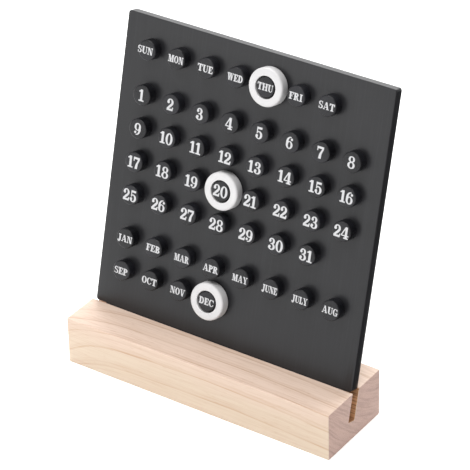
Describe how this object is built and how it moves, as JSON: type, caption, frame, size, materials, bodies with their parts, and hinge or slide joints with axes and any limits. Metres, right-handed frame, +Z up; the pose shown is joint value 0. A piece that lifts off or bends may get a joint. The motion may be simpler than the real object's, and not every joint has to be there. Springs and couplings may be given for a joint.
{
  "type": "perpetual desk calendar",
  "caption": "Perpetual desk calendar: a leaning board of round date pegs in a slotted wooden foot, with three loose marker rings.",
  "frame": {"origin": "middle of the foot's underside", "axes": "+Z up, +X along the foot to the reader's right, the pegs face -Y and the board leans back towards +Y"},
  "size_m": [0.2, 0.0843, 0.2229],
  "materials": {
    "pine": "planed softwood, unvarnished",
    "black_board": "smooth satin black paint on fibreboard",
    "black_peg": "satin black paint with white print",
    "white_ring": "satin white",
    "white_print": "flat white ink, printed on the pegs"
  },
  "bodies": {
    "foot": {"wood_base": "pine"},
    "board": {"board": "black_board", "peg_sun": "black_peg", "peg_mon": "black_peg", "peg_tue": "black_peg", "peg_wed": "black_peg", "peg_thu": "black_peg", "peg_fri": "black_peg", "peg_sat": "black_peg", "peg_day_01": "black_peg", "peg_day_02": "black_peg", "peg_day_03": "black_peg", "peg_day_04": "black_peg", "peg_day_05": "black_peg", "peg_day_06": "black_peg", "peg_day_07": "black_peg", "peg_day_08": "black_peg", "peg_day_09": "black_peg", "peg_day_10": "black_peg", "peg_day_11": "black_peg", "peg_day_12": "black_peg", "peg_day_13": "black_peg", "peg_day_14": "black_peg", "peg_day_15": "black_peg", "peg_day_16": "black_peg", "peg_day_17": "black_peg", "peg_day_18": "black_peg", "peg_day_19": "black_peg", "peg_day_20": "black_peg", "peg_day_21": "black_peg", "peg_day_22": "black_peg", "peg_day_23": "black_peg", "peg_day_24": "black_peg", "peg_day_25": "black_peg", "peg_day_26": "black_peg", "peg_day_27": "black_peg", "peg_day_28": "black_peg", "peg_day_29": "black_peg", "peg_day_30": "black_peg", "peg_day_31": "black_peg", "peg_jan": "black_peg", "peg_feb": "black_peg", "peg_mar": "black_peg", "peg_apr": "black_peg", "peg_may": "black_peg", "peg_june": "black_peg", "peg_july": "black_peg", "peg_aug": "black_peg", "peg_sep": "black_peg", "peg_oct": "black_peg", "peg_nov": "black_peg", "peg_dec": "black_peg"},
    "weekday_ring": {"ring_weekday": "white_ring"},
    "day_ring": {"ring_day": "white_ring"},
    "month_ring": {"ring_month": "white_ring"}
  },
  "joints": [
    {"name": "board_lift", "type": "slide", "parent": "foot", "child": "board", "axis": [0, 0.2538, 0.9673], "range_m": [0, 0.03]},
    {"name": "lift_ring_weekday", "type": "slide", "parent": "board", "child": "weekday_ring", "axis": [0, -0.9673, 0.2538], "range_m": [0, 0.012]},
    {"name": "lift_ring_day", "type": "slide", "parent": "board", "child": "day_ring", "axis": [0, -0.9673, 0.2538], "range_m": [0, 0.012]},
    {"name": "lift_ring_month", "type": "slide", "parent": "board", "child": "month_ring", "axis": [0, -0.9673, 0.2538], "range_m": [0, 0.012]}
  ]
}
